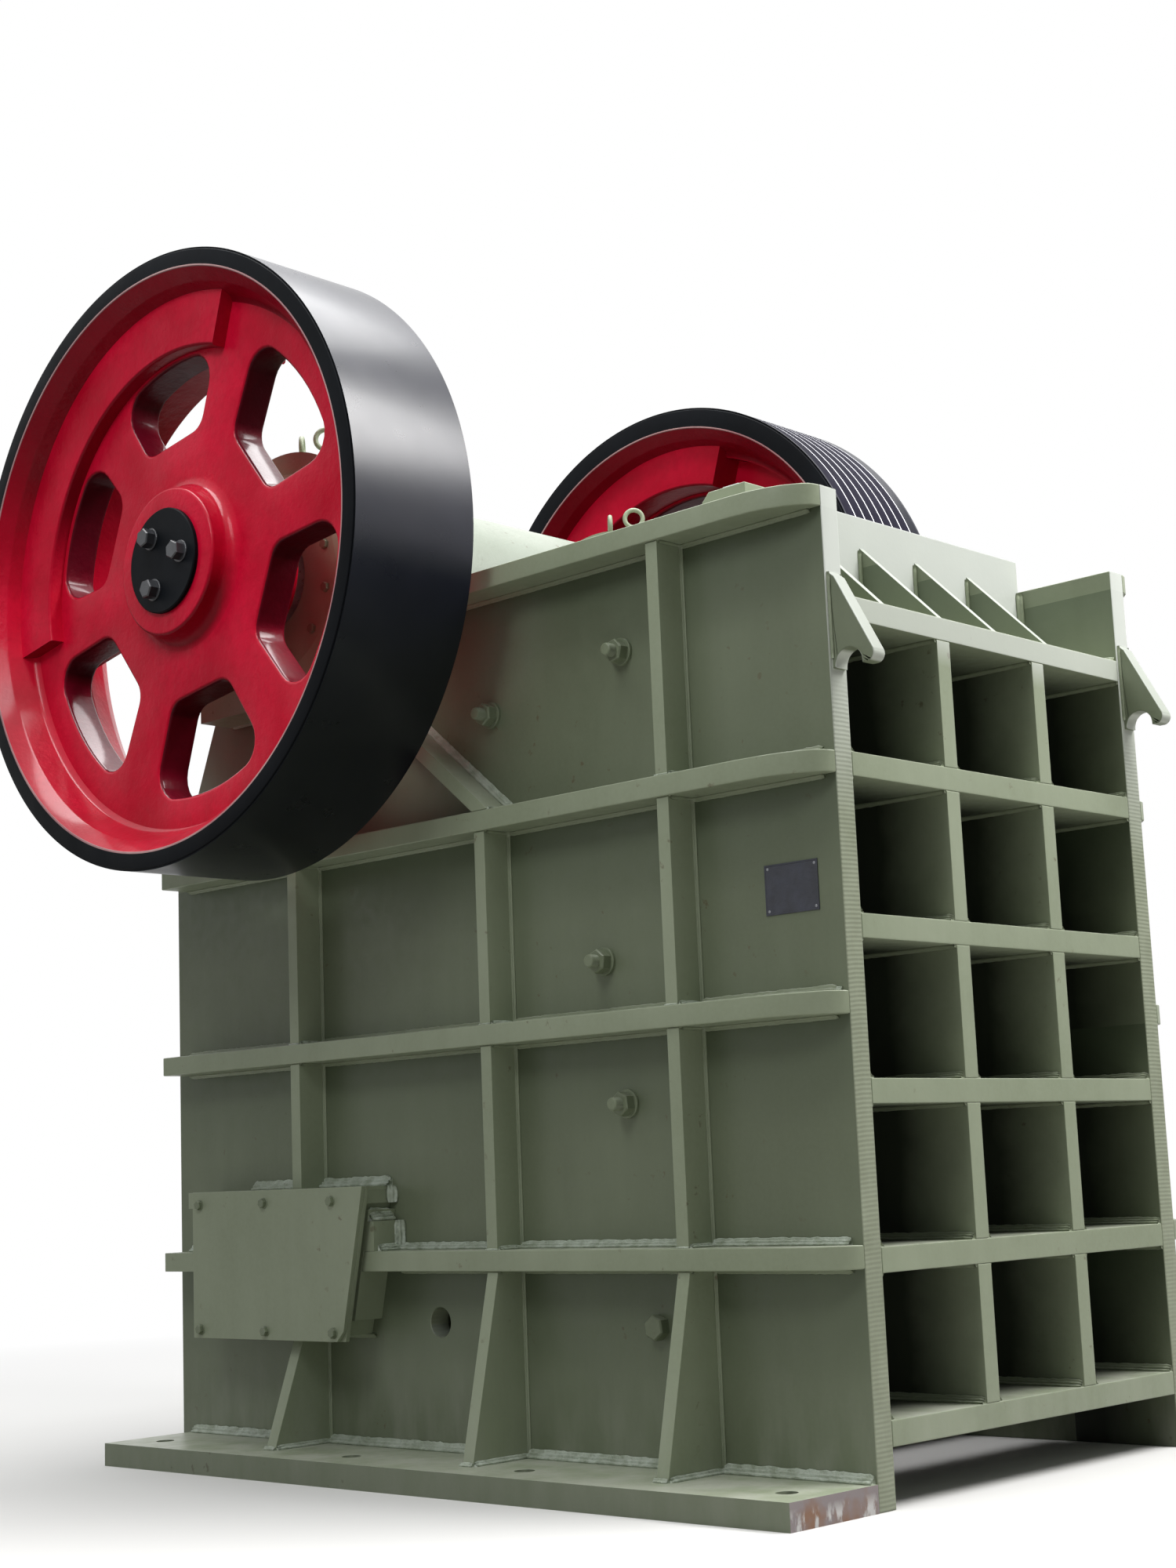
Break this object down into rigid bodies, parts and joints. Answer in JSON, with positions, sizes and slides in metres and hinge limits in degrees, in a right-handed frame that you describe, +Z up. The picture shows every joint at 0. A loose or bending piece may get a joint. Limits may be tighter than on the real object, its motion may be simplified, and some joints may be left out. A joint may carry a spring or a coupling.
{
  "type": "jaw crusher",
  "caption": "Single-toggle jaw crusher: welded ribbed frame with pocketed front, eccentric shaft with flywheel and grooved belt wheel, and a swing jaw facing a fixed jaw.",
  "frame": {"origin": "on the floor plane, midway between the flywheel and the belt wheel and midway between the front hooks and the rear of the wheels", "axes": "+Z up, -Y towards the front grid, +X towards the belt wheel, so the flywheel is on the -X side"},
  "size_m": [2.354, 2.6639, 3.121],
  "materials": {
    "green_enamel": "sage green enamel brushed over welded plate",
    "pale_enamel": "pale green enamel over cast steel",
    "red_enamel": "red gloss enamel over cast iron",
    "black_enamel": "black gloss enamel",
    "jaw_steel": "bare cast manganese steel",
    "shaft_steel": "turned steel",
    "dark_iron": "dark primed iron",
    "name_plate": "dark anodised plate, left bare"
  },
  "bodies": {
    "frame": {"side_plate_left": "green_enamel", "side_plate_right": "green_enamel", "side_ribs_left": "green_enamel", "side_ribs_right": "green_enamel", "side_posts_left": "green_enamel", "side_posts_right": "green_enamel", "seat_braces": "green_enamel", "base_flange_left": "green_enamel", "base_flange_right": "green_enamel", "front_wall": "green_enamel", "front_shelves": "green_enamel", "front_posts": "green_enamel", "front_gussets": "green_enamel", "adjusting_boxes": "green_enamel", "adjusting_covers": "green_enamel", "cheek_plate_left": "jaw_steel", "cheek_plate_right": "jaw_steel", "cheek_bolts": "green_enamel", "fixed_jaw_plate": "jaw_steel", "rear_wall": "green_enamel", "rear_shelves": "green_enamel", "rear_posts": "green_enamel", "toggle_block": "green_enamel", "toggle_plate": "dark_iron", "bearing_blocks": "green_enamel", "bearing_caps": "green_enamel", "main_bearings": "green_enamel", "cap_eyes": "green_enamel", "name_plate": "name_plate"},
    "rotor": {"eccentric_shaft": "shaft_steel", "flywheel_rim": "black_enamel", "flywheel_web": "red_enamel", "belt_wheel_web": "red_enamel", "flywheel_arms": "red_enamel", "flywheel_hub": "red_enamel", "belt_wheel_rim": "black_enamel", "belt_wheel_arms": "red_enamel", "belt_wheel_hub": "red_enamel", "end_plates": "black_enamel"},
    "swing_jaw": {"swing_jaw": "pale_enamel", "jaw_barrel": "pale_enamel", "jaw_ribs": "pale_enamel", "swing_jaw_plate": "jaw_steel", "tension_rod": "dark_iron", "tension_spring": "dark_iron"}
  },
  "joints": [
    {"name": "shaft_spin", "type": "hinge", "parent": "frame", "child": "rotor", "pos_m": [0, 0.526, 2.315], "axis": [1, 0, 0], "continuous": true},
    {"name": "jaw_swing", "type": "hinge", "parent": "rotor", "child": "swing_jaw", "pos_m": [0, 0.51616, 2.30368], "axis": [1, 0, 0], "continuous": true}
  ],
  "couplings": [
    {"joint": "jaw_swing", "follows": "shaft_spin", "ratio": -1}
  ]
}
